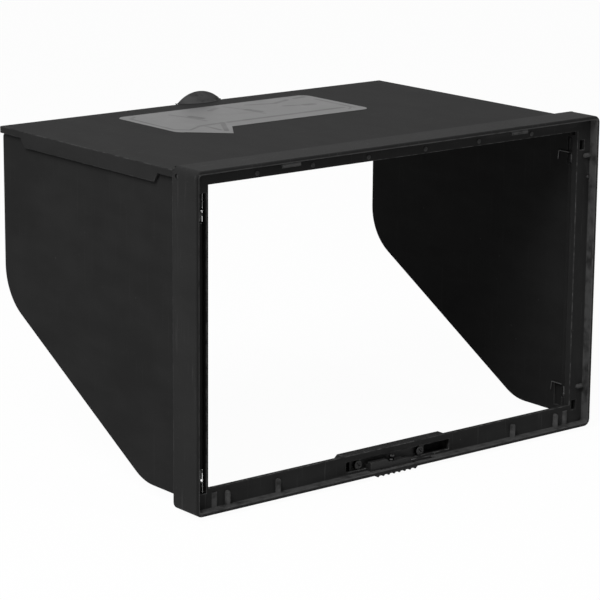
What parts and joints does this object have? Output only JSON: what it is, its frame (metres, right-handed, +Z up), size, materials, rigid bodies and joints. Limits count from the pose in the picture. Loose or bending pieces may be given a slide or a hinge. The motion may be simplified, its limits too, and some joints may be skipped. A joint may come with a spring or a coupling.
{
  "type": "folding monitor sun hood",
  "caption": "Clip-on sun hood for a field monitor: a pocket frame, a hinged top panel, two spring-loaded folding side panels and a sliding thumb latch.",
  "frame": {"origin": "middle of the upper strip of the seat face that the monitor's front edge rests against", "axes": "+X to the right as seen by someone facing the seat, +Y from the seat towards the open end of the hood, +Z up"},
  "size_m": [0.23, 0.1523, 0.1515],
  "materials": {
    "frame_plastic": "fine satin texture",
    "top_plastic": "fine spark texture",
    "side_plastic": "fine spark texture",
    "latch_plastic": "satin",
    "grip_plastic": "satin, ribbed",
    "label_film": "bare grey film",
    "pin_steel": "ground",
    "screw_steel": "dark zinc",
    "spring_steel": "bright drawn wire"
  },
  "bodies": {
    "frame_body": {"frame": "frame_plastic", "side_hinge_pins": "pin_steel", "latch_housing": "frame_plastic", "latch_return_spring": "spring_steel"},
    "top": {"top_panel": "top_plastic", "top_hinge_pins": "pin_steel", "top_label": "label_film"},
    "left_side": {"left_panel": "side_plastic", "left_upper_spring": "spring_steel", "left_lower_spring": "spring_steel"},
    "right_side": {"right_panel": "side_plastic", "right_upper_spring": "spring_steel", "right_lower_spring": "spring_steel"},
    "latch": {"latch_slider": "latch_plastic", "latch_tongue": "latch_plastic", "thumb_grip": "grip_plastic", "latch_screws": "screw_steel", "latch_pin": "pin_steel", "pin_clip": "spring_steel", "detent_wire": "spring_steel"}
  },
  "joints": [
    {"name": "left_hinge", "type": "hinge", "parent": "frame_body", "child": "left_side", "pos_m": [-0.1077, 0.0034, -0.0701], "axis": [0, 0, -1], "range_deg": [0, 90], "stiffness_Nm_per_rad": 0.004, "springref_deg": -34.38},
    {"name": "right_hinge", "type": "hinge", "parent": "frame_body", "child": "right_side", "pos_m": [0.1077, 0.0057, -0.0701], "axis": [0, 0, 1], "range_deg": [0, 90], "stiffness_Nm_per_rad": 0.004, "springref_deg": -34.38},
    {"name": "top_hinge", "type": "hinge", "parent": "frame_body", "child": "top", "pos_m": [0, 0.00905, 0.00047], "axis": [1, 0, 0], "range_deg": [0, 8]},
    {"name": "latch_slide", "type": "slide", "parent": "frame_body", "child": "latch", "axis": [1, 0, 0], "range_m": [0, 0.012], "stiffness_N_per_m": 60, "springref_m": -0.006, "deforming": ["latch_return_spring"]}
  ]
}
